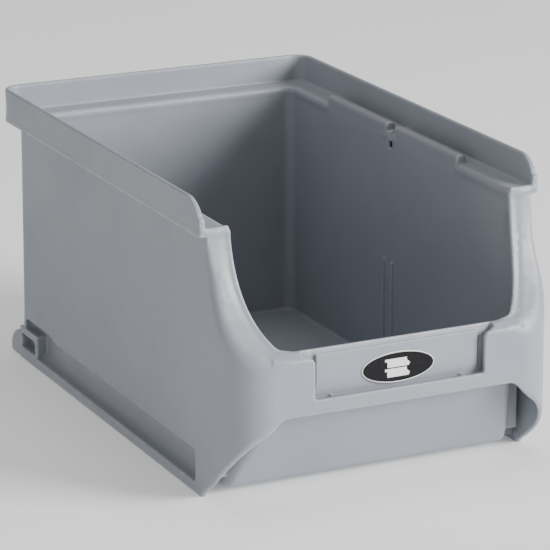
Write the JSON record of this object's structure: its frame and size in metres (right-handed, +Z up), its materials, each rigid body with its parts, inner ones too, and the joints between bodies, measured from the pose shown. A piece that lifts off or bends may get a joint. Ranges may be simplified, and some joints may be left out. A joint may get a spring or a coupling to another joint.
{
  "type": "stackable storage bin",
  "caption": "Open-fronted plastic stacking bin with a scoop front, label pocket, stacking rim and ledge, divider slots, hooked rear feet and an oval badge.",
  "frame": {"origin": "centre of the bin's footprint on the ground, under the middle of the box around it", "axes": "+Z up, -Y towards the scoop front, +X to the right when looking along +Y"},
  "size_m": [0.15, 0.235, 0.122],
  "materials": {
    "body": "satin moulded polypropylene",
    "badge_white": "printed white film",
    "badge_black": "glossy black resin"
  },
  "bodies": {
    "root": {"bin_body": "body", "badge_film": "badge_white", "badge_face": "badge_black", "badge_emblem": "badge_white"}
  },
  "joints": []
}
